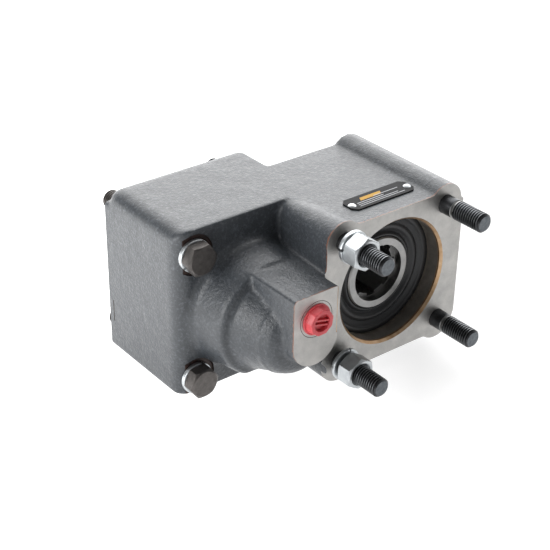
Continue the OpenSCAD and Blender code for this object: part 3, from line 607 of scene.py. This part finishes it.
mill((pad_side_x, -far, -far), (far, 0, far))
mill((-far, -far, -far), (far, pad_y, far))
mill((-far, gearbox_y, -far), (far, far, far))
print("after milling:", triangles(casting), "triangles")

# %% [markdown]
# A milled rim keeps a fine bright burr. A thin chamfer on the pad's right-hand edge shows it. It is cut
# with a small prism, because a bevel can't pick one edge of a skin that is all small squares.

# %% Burr of the pad
edge = 0.9
burr = bmesh.new()
wall_plan(burr, [(input_x + pad_r - edge, pad_y - 1), (input_x + pad_r + 2, pad_y - 1),
                 (input_x + pad_r + 2, pad_y + 1.6), (input_x + pad_r - edge, pad_y)], pad_round_z,
          pad_top + 1)
cut(casting, burr, CHAMFER)
print("burr", edge, "mm wide on the pad")

# %% [markdown]
# A boring bar cuts each bore as one half section. The output side takes the pump's pilot, the seal, a
# snap-ring groove and two bearings, all on one axis.

# %% Bore the output side
pilot_r = 40
chamfer = 1.5
undercut_w, undercut_d = 1.2, 0.6
seal_front = box_mm("output_seal")[0].y
ring_low, ring_high = box_mm("output_retaining_ring")
rear_end = box_mm("output_rear_outer_race")[1].y
gear_end = box_mm("output_gear")[1].y
rear_seat_r = 27.5
bore([(0, -1), (pilot_r, -1), (pilot_r, seal_front - undercut_w),
      (pilot_r + undercut_d, seal_front - undercut_w), (pilot_r + undercut_d, seal_front),
      (pilot_r, seal_front), (pilot_r, ring_low.y), (pilot_r + 2, ring_low.y),
      (pilot_r + 2, ring_high.y), (pilot_r, ring_high.y), (pilot_r, gear_end + 1),
      (rear_seat_r, gear_end + 1), (rear_seat_r, rear_end), (0, rear_end)], steps=128)
bore([(0, -1), (pilot_r + chamfer + 1, -1), (pilot_r, chamfer), (pilot_r + 0.04, chamfer + 1.2),
      (0, chamfer + 1.2)], finish=CHAMFER, steps=128)
stud_hole_r = 6.05
stud_hole_depth = 22
for side in (-1, 1):
    for level in (-1, 1):
        bore([(0, -1), (stud_hole_r, -1), (stud_hole_r, stud_hole_depth), (0, stud_hole_depth)],
             side * stud_half, level * stud_half, steps=48)
print("pilot bore", pilot_r, "mm in radius, to the seal at", round(seal_front, 2))

# %% [markdown]
# The input side holds the air cylinder in front, then a bearing seat, then the wide chamber that is open
# to the gearbox, with the groove of the carrier's ring.

# %% Bore the input side
cylinder_r = 18.05
rod_bore_r = 14
cylinder_y = pad_y + 10
front_race_low, front_race_high = box_mm("input_front_outer_race")
clip_low, clip_high = box_mm("carrier_retaining_ring")
chamber_r = 42
bore([(0, cylinder_y), (cylinder_r, cylinder_y), (cylinder_r, front_race_low.y - 5),
      (rod_bore_r, front_race_low.y - 5), (rod_bore_r, front_race_low.y), (rear_seat_r, front_race_low.y),
      (rear_seat_r, front_race_high.y), (chamber_r, front_race_high.y), (chamber_r, clip_low.y),
      (chamber_r + 2, clip_low.y), (chamber_r + 2, clip_high.y), (chamber_r, clip_high.y),
      (chamber_r, gearbox_y + 1), (0, gearbox_y + 1)], input_x, input_z, steps=128)
print("chamber", chamber_r, "mm in radius")

# %% Holes and rusty pockets of the gearbox bolts
bolt_x = middle_mm("gearbox_bolt_upper").x
bolt_upper = middle_mm("gearbox_bolt_upper").z
bolt_lower = middle_mm("gearbox_bolt_lower").z
far_stud_x = middle_mm("gearbox_stud_upper").x
spot_r = 13
spot_depth = 1.2
bolt_hole_r = 6.5
far_hole_depth = 28
for level in (bolt_lower, bolt_upper):
    bore([(0, 40), (bolt_hole_r, 40), (bolt_hole_r, gearbox_y + 1), (0, gearbox_y + 1)], bolt_x, level,
         steps=48)
    bore([(0, 40), (spot_r, 40), (spot_r, input_front_y + spot_depth), (0, input_front_y + spot_depth)],
         bolt_x, level, SPOT, 64)
    bore([(0, gearbox_y - far_hole_depth), (stud_hole_r, gearbox_y - far_hole_depth),
          (stud_hole_r, gearbox_y + 1), (0, gearbox_y + 1)], far_stud_x, level, steps=48)
print("spot faces", spot_r, "mm in radius,", spot_depth, "mm deep")

# %% Air port, its scribed ring and the slit beside the gearbox face
port = middle_mm("air_port_plug")
port_r = 6.6
ring_r = 11.6
ring_w = 0.35
ring_depth = 0.2
bore([(0, pad_y - 1), (port_r, pad_y - 1), (port_r, cylinder_y + 6), (0, cylinder_y + 6)], port.x, port.z,
     steps=48)
bore([(ring_r - ring_w, pad_y - 1), (ring_r, pad_y - 1), (ring_r, pad_y + ring_depth),
      (ring_r - ring_w, pad_y + ring_depth)], port.x, port.z, finish=SPOT, steps=64)
mill((input_left_x - 2, gearbox_y - 5, input_z - 31), (input_left_x + 0.8, gearbox_y - 4.2, input_z - 16),
     BORED)
mark_sharp(casting)
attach(casting, "housing_body")
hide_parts("housing")
print("casting:", triangles(casting), "triangles")

# %% [markdown]
# ## Threads
# A screw thread is one groove wound round a bar. The section of a few pitches is spun once around the
# axis while it moves on by one pitch, so that each pitch ends where the next begins. Both ends are then
# cut flat.


# %% Threaded bar
PITCH = 1.75
CREST_R = 6.0
ROOT_R = 4.95


def thread(y0, y1, x, z, steps=36):
    """Closed threaded bar along Y, from y0 to y1 in millimetres."""
    bm = bmesh.new()
    count = math.ceil((y1 - y0) / PITCH) + 3
    start = y0 - 2 * PITCH
    section = []
    for i in range(count):
        foot = start + i * PITCH
        section += [(ROOT_R, foot), (ROOT_R, foot + 0.18 * PITCH), (CREST_R, foot + 0.44 * PITCH),
                    (CREST_R, foot + 0.74 * PITCH)]
    section.append((ROOT_R, start + count * PITCH))
    chain = [bm.verts.new(((x + r) * MM, y * MM, z * MM)) for r, y in section]
    edges = [bm.edges.new(pair) for pair in zip(chain, chain[1:])]
    bmesh.ops.spin(bm, geom=chain + edges, cent=(x * MM, 0, z * MM), axis=(0, 1, 0), angle=math.tau,
                   dvec=(0, PITCH * MM / steps, 0), steps=steps, use_merge=False, use_duplicate=False)
    bmesh.ops.remove_doubles(bm, verts=bm.verts, dist=1e-6)
    for y, side in ((y0, -1), (y1, 1)):
        everything = bm.verts[:] + bm.edges[:] + bm.faces[:]
        found = bmesh.ops.bisect_plane(bm, geom=everything, plane_co=(0, y * MM, 0), plane_no=(0, side, 0),
                                       clear_outer=True)
        rim = [e for e in found["geom_cut"] if isinstance(e, bmesh.types.BMEdge)]
        bmesh.ops.edgeloop_fill(bm, edges=rim)
    outward(bm)
    return bm


# %% [markdown]
# ## Pump studs
# A stud is screwed into the flange and stands out of it. The two on the right show a plain collar, a thin
# neck and then the thread. The two on the left carry a nut, and the thread starts inside it.

# %% Pump studs
TIP = 1.2
NECK_R = 4.9
SHANK_R = 5.98


def tip_envelope(bm, y_tip, y_back, x, z):
    turned(bm, [(0, y_tip), (CREST_R - TIP, y_tip), (CREST_R + 0.1, y_tip + TIP + 0.1),
                (CREST_R + 0.1, y_back), (0, y_back)], x, z, 48)


def thread_tip(y_root, y_tip, x, z):
    """Threaded end that stands out of the gearbox face, chamfered at its tip."""
    bar = to_object(thread(y_root, y_tip, x, z), "tip")
    tool = bmesh.new()
    turned(tool, [(0, y_root - 1), (CREST_R + 0.1, y_root - 1), (CREST_R + 0.1, y_tip - TIP - 0.1),
                  (CREST_R - TIP, y_tip), (0, y_tip)], x, z, 48)
    cut(bar, tool, 0, "INTERSECT")
    made = bmesh.new()
    made.from_mesh(bar.data)
    old = bar.data
    bpy.data.objects.remove(bar)
    bpy.data.meshes.remove(old)
    return made


def end_finish(thing, y, direction):
    """Gives the flat end of a stud the finish of sheared steel."""
    for face in thing.data.polygons:
        if face.normal.y * direction > 0.9 and abs(face.center.y - y * MM) < 0.05 * MM:
            face.material_index = 1


def crest_finish(thing, x, z, y0, y1, index):
    """Gives the thread's crests between y0 and y1 a lighter finish, which is a painted highlight."""
    for face in thing.data.polygons:
        reach = math.hypot(face.center.x - x * MM, face.center.z - z * MM)
        if reach > (CREST_R - 0.15) * MM and y0 * MM < face.center.y < y1 * MM and abs(face.normal.y) < 0.3:
            face.material_index = index


def pump_stud(name, collar, neck):
    low, high = box_mm(name)
    x, z = (low.x + high.x) / 2, (low.z + high.z) / 2
    stud = to_object(thread(low.y, -collar - neck + 1, x, z), name + "_threaded")
    stud.data.materials.append(FINISH["black_oxide"])
    stud.data.materials.append(FINISH["sheared_end"])
    tool = bmesh.new()
    tip_envelope(tool, low.y, 10, x, z)
    cut(stud, tool, 0, "INTERSECT")
    tool = bmesh.new()
    turned(tool, [(0, -collar - neck - 0.2), (NECK_R, -collar - neck - 0.2), (NECK_R, -collar - 0.6),
                  (5.9, -collar), (SHANK_R, -collar + 0.4), (SHANK_R, high.y), (0, high.y)], x, z, 48)
    cut(stud, tool, 0, "UNION")
    mark_sharp(stud, 40)
    end_finish(stud, low.y, -1)
    # Slot 2 is the lighter crest finish, a painted highlight along the thread.
    stud.data.materials.append(FINISH["crest_highlight"])
    stud.data.materials.append(FINISH["ground_steel"])
    crest_finish(stud, x, z, low.y + TIP, -collar - neck - 0.5, 2)
    for face in stud.data.polygons:
        if -collar - neck - 0.3 < face.center.y / MM < -collar - 0.3:
            face.material_index = 3
    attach(stud, "housing_body")
    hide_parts(name)
    print(name, triangles(stud), "triangles")
    return stud


for level in ("upper", "lower"):
    pump_stud(f"stud_{level}_left", 9, 0.6)
    pump_stud(f"stud_{level}_right", 9, 2)

# %% [markdown]
# ## Nuts, bolts and spring washers
# A nut is a six-sided bar, turned down to a cone at both ends, so that its six corners end in arcs. The
# same way makes a bolt head, with a wide round face on its outer end only. The corners are a little
# rounded by the plating.


# %% Hexagonal blocks
HEX_AF = 18
CORNER_R = HEX_AF / math.sqrt(3)


def hexagon(y0, y1, x, z, turn_deg, section, *finishes):
    """Hexagonal bar from y0 to y1, with its ends turned to a section of radius and Y."""
    bm = bmesh.new()
    slab(bm, circle_points(x, z, CORNER_R, 6, math.radians(turn_deg)), y0, y1)
    long_edges = [e for e in bm.edges if abs(e.verts[0].co.y - e.verts[1].co.y) > 1 * MM]
    bmesh.ops.bevel(bm, geom=long_edges, offset=0.35 * MM, segments=2, profile=0.5, affect="EDGES",
                    material=-1)
    outward(bm)
    made = to_object(bm, "hexagon")
    for finish in finishes:
        made.data.materials.append(FINISH[finish])
    tool = bmesh.new()
    turned(tool, section, x, z, 96)
    return cut(made, tool, 0, "INTERSECT")


def placed(thing, name):
    """Puts a detailed piece in the place of its CAD node."""
    thing.name = name + "_detailed"
    mark_sharp(thing, 24)
    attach(thing, "housing_body")
    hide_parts(name)
    print(name, triangles(thing), "triangles")


# %% Stud nuts
for level, turn in (("upper", 28.5), ("lower", 29)):
    name = "stud_nut_" + level
    low, high = box_mm(name)
    axis = middle_mm(f"stud_{level}_left")
    face_r = HEX_AF / 2 - 0.4
    nut = hexagon(low.y, high.y, axis.x, axis.z, turn,
                  [(0, low.y), (face_r, low.y), (CORNER_R + 0.1, low.y + 1.15),
                   (CORNER_R + 0.1, high.y - 1.15), (face_r, high.y), (0, high.y)], "bright_zinc")
    tool = bmesh.new()
    turned(tool, [(0, low.y - 1), (7.4, low.y - 1), (7.4, low.y), (6.05, low.y + 1.35), (6.05, high.y - 1.35),
                  (7.4, high.y), (7.4, high.y + 1), (0, high.y + 1)], axis.x, axis.z, 64)
    cut(nut, tool, 0)
    placed(nut, name)

# %% Gearbox bolts and studs
HEAD_H = 7.5
for level, turn in (("upper", 2), ("lower", 5)):
    name = "gearbox_bolt_" + level
    low, high = box_mm(name)
    axis = middle_mm(name)
    head_end = low.y + HEAD_H
    bolt = hexagon(low.y, head_end, axis.x, axis.z, turn,
                   [(0, low.y), (8.3, low.y), (8.5, low.y + 0.15), (CORNER_R + 0.1, low.y + 1.4),
                    (CORNER_R + 0.1, head_end), (0, head_end)], "bolt_head", "sheared_end")
    tool = bmesh.new()
    turned(tool, [(0, head_end - 1), (SHANK_R, head_end - 1), (SHANK_R, gearbox_y), (NECK_R, gearbox_y + 0.6),
                  (NECK_R, gearbox_y + 3), (0, gearbox_y + 3)], axis.x, axis.z, 48)
    cut(bolt, tool, 0, "UNION")
    cut(bolt, thread_tip(gearbox_y + 1, high.y, axis.x, axis.z), 0, "UNION")
    end_finish(bolt, high.y, 1)
    placed(bolt, name)

    name = "gearbox_stud_" + level
    low, high = box_mm(name)
    axis = middle_mm(name)
    tool = bmesh.new()
    turned(tool, [(0, low.y), (SHANK_R, low.y), (SHANK_R, gearbox_y), (NECK_R, gearbox_y + 0.6),
                  (NECK_R, gearbox_y + 3), (0, gearbox_y + 3)], axis.x, axis.z, 48)
    outward(tool)
    stud = to_object(tool, name)
    stud.data.materials.append(FINISH["black_oxide"])
    stud.data.materials.append(FINISH["sheared_end"])
    cut(stud, thread_tip(gearbox_y + 1, high.y, axis.x, axis.z), 0, "UNION")
    end_finish(stud, high.y, 1)
    placed(stud, name)

# %% [markdown]
# A spring washer is a short coil of nearly square wire. The wire's section, with rounded corners, is spun
# most of the way round its axis while it moves a little along it, and the two ends are filled flat. A
# whole ring with a slot cut in it would be simpler, but its ends would not stand apart.


# %% Spring washers
def spring_washer(name, axis, split_deg, rise):
    low, high = box_mm(name)
    inner, outer, corner = 6.08, 10.2, 0.5
    steps, gap = 72, 9
    tall = high.y - low.y - rise
    section = []
    for cx, cy, first in ((outer - corner, tall - corner, 0), (inner + corner, tall - corner, 90),
                          (inner + corner, corner, 180), (outer - corner, corner, 270)):
        for part in range(4):
            turn = math.radians(first + 30 * part)
            section.append((cx + corner * math.cos(turn), cy + corner * math.sin(turn)))
    start = math.radians(split_deg + gap / 2)
    bm = bmesh.new()
    ring = [bm.verts.new(((axis.x + r * math.cos(start)) * MM, (low.y + y) * MM,
                          (axis.z + r * math.sin(start)) * MM)) for r, y in section]
    edges = [bm.edges.new(pair) for pair in zip(ring, ring[1:] + ring[:1])]
    bmesh.ops.spin(bm, geom=ring + edges, cent=(axis.x * MM, 0, axis.z * MM), axis=(0, -1, 0),
                   angle=math.radians(360 - gap), dvec=(0, rise * MM / steps, 0), steps=steps,
                   use_merge=False, use_duplicate=False)
    bmesh.ops.edgeloop_fill(bm, edges=[e for e in bm.edges if len(e.link_faces) == 1])
    outward(bm)
    made = to_object(bm, name)
    made.data.materials.append(FINISH["bright_zinc"])
    placed(made, name)


for name, holder, split_deg, rise in (
        ("stud_washer_upper", "stud_upper_left", 172, 0.5), ("stud_washer_lower", "stud_lower_left", 75, 0.6),
        ("bolt_washer_upper", "gearbox_bolt_upper", 215, 0.3),
        ("bolt_washer_lower", "gearbox_bolt_lower", 70, 0.3)):
    spring_washer(name, middle_mm(holder), split_deg, rise)

# %% [markdown]
# ## Lip seal
# A rubber ring with a stiff outer band, two raised ridges and a thin lip on the shaft. Its section is
# turned whole, with the ridges rounded, because rubber has no sharp edge.

# %% Lip seal
low, high = box_mm("output_seal")
front = low.y
seal_r = (high.x - low.x) / 2
lip_r = 23.66
# Distance outside the lip and depth behind the front, from the lip over both ridges to the outer band.
ridges = [(0, 2.6), (0.25, 1.9), (1, 1.5), (1.8, 1.8), (2.5, 2.8), (3.3, 3.3), (4.1, 3), (4.8, 1.9),
          (5.6, 1.2), (6.6, 1), (7.6, 1.2), (8.3, 1.7), (8.9, 1.9), (9.2, 1.6), (11.9, 1.3), (12.2, 0.9), (12.6, 0.4)]
section = [(lip_r + out, front + depth) for out, depth in ridges]
section += [(seal_r - 3.2, front + 0.05), (seal_r - 0.5, front), (seal_r, front + 0.4), (seal_r, high.y),
            (lip_r + 4, high.y), (lip_r + 1, high.y - 1.5), (lip_r, front + 3.4)]
seal = bmesh.new()
turned(seal, section, steps=128)
outward(seal)
seal = to_object(seal, "output_seal", 50)
seal.data.materials.append(FINISH["rubber_black"])
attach(seal, "housing_body")
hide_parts("output_seal")
print("seal:", triangles(seal), "triangles")

# %% [markdown]
# ## Port plug
# The transport plug is moulded in soft red plastic: a thin round rim lies on the pad, and a tapered head
# with nine flats stands on it. Its round recess holds two thin ribs for a coin or a screwdriver. The rim
# is turned, the head is an outline pushed along Y and narrowed, and the recess is cut out of both.

# %% Port plug
low, high = box_mm("air_port_plug")
rim_y = pad_y - 0.1
recess_r = 5.4
recess_depth = 2.6
head_r = 9.1
head_taper = 0.9
head_turn = 0.2
flats = 9
rib_turn_deg = 14
plug = bmesh.new()
turned(plug, [(0, rim_y - 0.9), (9.5, rim_y - 0.9), (9.78, rim_y - 0.6), (9.78, rim_y), (6.5, rim_y),
              (6.5, rim_y + 0.55), (5.1, rim_y + 0.65), (5.1, rim_y + 2.5), (6.5, rim_y + 2.6), (6.5, high.y),
              (0, high.y)], port.x, port.z, 64)
outward(plug)
plug = to_object(plug, "plug")
plug.data.materials.append(FINISH["red_plastic"])
print("plug rim:", triangles(plug), "triangles")

# %% Head, recess and ribs of the plug
head = bmesh.new()
slab(head, circle_points(port.x, port.z, head_r, flats, head_turn), low.y + 0.02, rim_y - 0.5)
for vert in head.verts:
    if vert.co.y < (low.y + 0.1) * MM:
        vert.co.x = port.x * MM + (vert.co.x - port.x * MM) * head_taper
        vert.co.z = port.z * MM + (vert.co.z - port.z * MM) * head_taper
bmesh.ops.bevel(head, geom=head.edges[:], offset=0.4 * MM, segments=3, profile=0.5, affect="EDGES",
                material=-1)
cut(plug, head, 0, "UNION")
tool = bmesh.new()
turned(tool, [(0, low.y - 1), (recess_r + 0.6, low.y - 1), (recess_r, low.y + 0.3),
              (recess_r - 0.2, low.y + recess_depth), (0, low.y + recess_depth)], port.x, port.z, 48)
cut(plug, tool, 0)
for side in (-1, 1):
    tool = bmesh.new()
    grown = box(tool, (port.x - recess_r, low.y + 0.6, port.z + side * 1.35 - 0.5),
                (port.x + recess_r, low.y + 2.8, port.z + side * 1.35 + 0.5))
    bmesh.ops.rotate(tool, verts=grown, cent=(port.x * MM, 0, port.z * MM),
                     matrix=Matrix.Rotation(math.radians(rib_turn_deg), 3, "Y"))
    cut(plug, tool, 0, "UNION")
placed(plug, "air_port_plug")

# %% [markdown]
# ## Return spring
# The coil behind the air piston is wound from spring wire. Its shape is the CAD coil's, with its loose
# triangles merged.

# %% Coil of the return spring
low, high = box_mm("return_spring")
wire = bmesh.new()
wire.from_mesh(frame["nodes"]["return_spring"].data)
bmesh.ops.remove_doubles(wire, verts=wire.verts, dist=1e-7)
coil = to_object(wire, "return_coil")
coil.data.materials.append(FINISH["spring_steel"])
placed(coil, "return_spring")
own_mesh(coil)

# %% [markdown]
# ## Carry-over finishes
# Shafts, gears, bearings and the other CAD nodes keep their exact shape, since a remodelled gear would
# lose its fit. Each gets the finish of its record slot.

# %% Finishes of the CAD nodes
for row in frame["record"]["subparts"]:
    node_object = frame["nodes"][row["node"]]
    node_object.data.materials.clear()
    node_object.data.materials.append(FINISH[row["material_slot"]])

# %% [markdown]
# ## Studio
# A pale floor just under the casting, a bright room behind and above, and a camera at the place that the
# four studs of known spacing give.

# %% Camera
CAMERA_AZIMUTH = math.radians(-38.564)
CAMERA_ELEVATION = math.radians(30.051)
CAMERA_ROLL = math.radians(0.929)
CAMERA_OFFSET = Vector((70.287, -3.893, 808.02)) * MM
PHOTO_PX = 550
FOCAL_PX = 1351.18
SENSOR_MM = 36

back = Vector((math.sin(CAMERA_AZIMUTH) * math.cos(CAMERA_ELEVATION),
               -math.cos(CAMERA_AZIMUTH) * math.cos(CAMERA_ELEVATION), math.sin(CAMERA_ELEVATION)))
level_right = (-back).cross(Vector((0, 0, 1))).normalized()
level_up = level_right.cross(-back)
right = level_right * math.cos(CAMERA_ROLL) + level_up * math.sin(CAMERA_ROLL)
up = level_up * math.cos(CAMERA_ROLL) - level_right * math.sin(CAMERA_ROLL)
eye = -(right * CAMERA_OFFSET.x + up * CAMERA_OFFSET.y - back * CAMERA_OFFSET.z)
lens = bpy.data.cameras.new("camera")
lens.sensor_width = SENSOR_MM
lens.lens = FOCAL_PX / PHOTO_PX * SENSOR_MM
lens.clip_start = 0.01
lens.dof.use_dof = False
camera = bpy.data.objects.new("camera", lens)
bpy.context.scene.collection.objects.link(camera)
camera.matrix_world = Matrix(((right.x, up.x, back.x, eye.x), (right.y, up.y, back.y, eye.y),
                              (right.z, up.z, back.z, eye.z), (0, 0, 0, 1)))
bpy.context.scene.camera = camera
print("camera at", [round(v / MM) for v in eye], "mm, lens", round(lens.lens, 1), "mm")

# %% [markdown]
# Product tables are often lit from below, so that the object has almost no shadow. The paper glows a
# little more to the left and behind, where the left faces mirror it. The room is bright only where the
# top mirrors it.

# %% Lit floor
FLOOR_HALF_M = 6
FLOOR_GAP_M = 0.0002
floor_bm = bmesh.new()
bmesh.ops.create_grid(floor_bm, x_segments=1, y_segments=1, size=FLOOR_HALF_M)
bmesh.ops.translate(floor_bm, verts=floor_bm.verts, vec=(0, 0, cad_low.z - FLOOR_GAP_M))
floor = to_object(floor_bm, "floor")
floor_material, tree, place, out = start_material("lit_white_paper")
towards = add(tree, "ShaderNodeVectorMath", {0: place, 1: (-0.7, 0.7, 0)}, operation="DOT_PRODUCT")
light_table = add(tree, RANGE, {0: towards.outputs["Value"], 1: -0.02, 2: 0.3, 3: 0.72, 4: 2.3})
paper = add(tree, SURFACE, {"Base Color": paint("#9c9c9c"), "Roughness": 0.9,
                            "Emission Color": (1, 1, 1, 1), "Emission Strength": light_table.outputs[0]})
tree.links.new(paper.outputs[0], out.inputs[0])
floor.data.materials.append(floor_material)
floor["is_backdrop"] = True
print("floor", 2 * FLOOR_HALF_M, "m wide")


# %% Lamp and room
def softbox(name, place_m, aim_m, width, power):
    light = bpy.data.lights.new(name, "AREA")
    light.shape = "SQUARE"
    light.size = width
    light.energy = power
    holder = bpy.data.objects.new(name, light)
    holder.location = place_m
    holder.rotation_mode = "QUATERNION"
    holder.rotation_quaternion = (Vector(aim_m) - Vector(place_m)).to_track_quat("-Z", "Y")
    bpy.context.scene.collection.objects.link(holder)
    return holder


softbox("left_box", (-1.2, 0.1, 0.35), (-0.08, 0.05, 0), 0.6, 9)
BRIGHT_WALL = Vector((0.6, 0.62, 0.5)).normalized()
world = bpy.data.worlds.new("room")
world.use_nodes = True
tree = world.node_tree
ray = add(tree, "ShaderNodeTexCoord").outputs["Generated"]
facing = add(tree, "ShaderNodeVectorMath", {0: ray, 1: BRIGHT_WALL}, operation="DOT_PRODUCT")
glow = add(tree, RANGE, {0: facing.outputs["Value"], 1: 0.35, 2: 0.97, 3: 0.22, 4: 4.1},
           interpolation_type="SMOOTHSTEP").outputs[0]
seen = add(tree, "ShaderNodeLightPath").outputs["Is Camera Ray"]
shown = add(tree, MIX, {0: seen, 2: glow, 3: 0.95}, data_type="FLOAT").outputs[0]
background = tree.nodes["Background"]
background.inputs["Color"].default_value = (1, 1, 1, 1)
tree.links.new(shown, background.inputs["Strength"])
bpy.context.scene.world = world
bpy.context.scene.view_settings.view_transform = "Standard"

# %% Measure and finish
low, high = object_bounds()
print("visual box in mm:", [round(v / MM, 1) for v in (*low, *high)])
